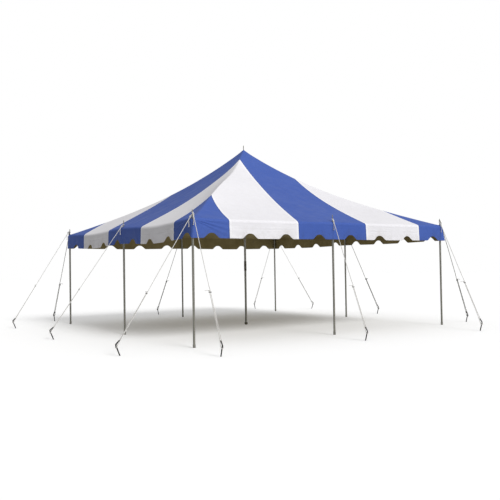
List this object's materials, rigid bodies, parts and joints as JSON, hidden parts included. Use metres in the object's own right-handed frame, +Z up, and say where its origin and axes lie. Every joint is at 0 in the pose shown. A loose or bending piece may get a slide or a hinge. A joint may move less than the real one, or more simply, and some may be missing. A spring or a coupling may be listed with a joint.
{
  "type": "pole marquee tent",
  "caption": "Square pole marquee with a peaked blue and white striped canopy, scalloped valance, steel poles, guy ropes and stakes.",
  "frame": {"origin": "on the ground under the peak, at the foot of the centre pole", "axes": "+Z up, +X to the tent's right, +Y to its back; the front, with the side that faces the picture, is at -Y"},
  "size_m": [9.0783, 8.9333, 4.098],
  "materials": {
    "blue_vinyl": "PVC coated polyester, blue, satin",
    "white_vinyl": "PVC coated polyester, white, satin, with an olive brown lining face",
    "galvanised_steel": "galvanised steel tube, dull",
    "dark_steel": "dark steel, weathered",
    "stake_steel": "black forged steel rod, worn",
    "rope": "white braided polyester rope"
  },
  "bodies": {
    "root": {"canopy_centre_front": "blue_vinyl", "canopy_centre_right": "blue_vinyl", "canopy_centre_back": "blue_vinyl", "canopy_centre_left": "blue_vinyl", "canopy_white_front_left": "white_vinyl", "canopy_white_front_right": "white_vinyl", "canopy_white_back_right": "white_vinyl", "canopy_white_back_left": "white_vinyl", "canopy_corner_front_left": "blue_vinyl", "canopy_corner_front_right": "blue_vinyl", "canopy_corner_back_right": "blue_vinyl", "canopy_corner_back_left": "blue_vinyl", "crown_plate": "dark_steel", "centre_pole_lower": "galvanised_steel", "centre_pole_upper": "galvanised_steel", "centre_pole_sleeve": "dark_steel", "side_pole_front_left": "galvanised_steel", "side_pole_front_middle": "galvanised_steel", "side_pole_front_right": "galvanised_steel", "side_pole_right_middle": "galvanised_steel", "side_pole_back_right": "galvanised_steel", "side_pole_back_middle": "galvanised_steel", "side_pole_back_left": "galvanised_steel", "side_pole_left_middle": "galvanised_steel", "guy_rope_front_left_to_left": "rope", "guy_rope_front_left_to_front": "rope", "guy_rope_front_middle": "rope", "guy_rope_front_right_to_front": "rope", "guy_rope_front_right_to_right": "rope", "guy_rope_right_middle": "rope", "guy_rope_back_right_to_right": "rope", "guy_rope_back_right_to_back": "rope", "guy_rope_back_middle": "rope", "guy_rope_back_left_to_back": "rope", "guy_rope_back_left_to_left": "rope", "guy_rope_left_middle": "rope", "stake_front_left_to_left": "stake_steel", "stake_front_left_to_front": "stake_steel", "stake_front_middle": "stake_steel", "stake_front_right_to_front": "stake_steel", "stake_front_right_to_right": "stake_steel", "stake_right_middle": "stake_steel", "stake_back_right_to_right": "stake_steel", "stake_back_right_to_back": "stake_steel", "stake_back_middle": "stake_steel", "stake_back_left_to_back": "stake_steel", "stake_back_left_to_left": "stake_steel", "stake_left_middle": "stake_steel"}
  },
  "joints": []
}
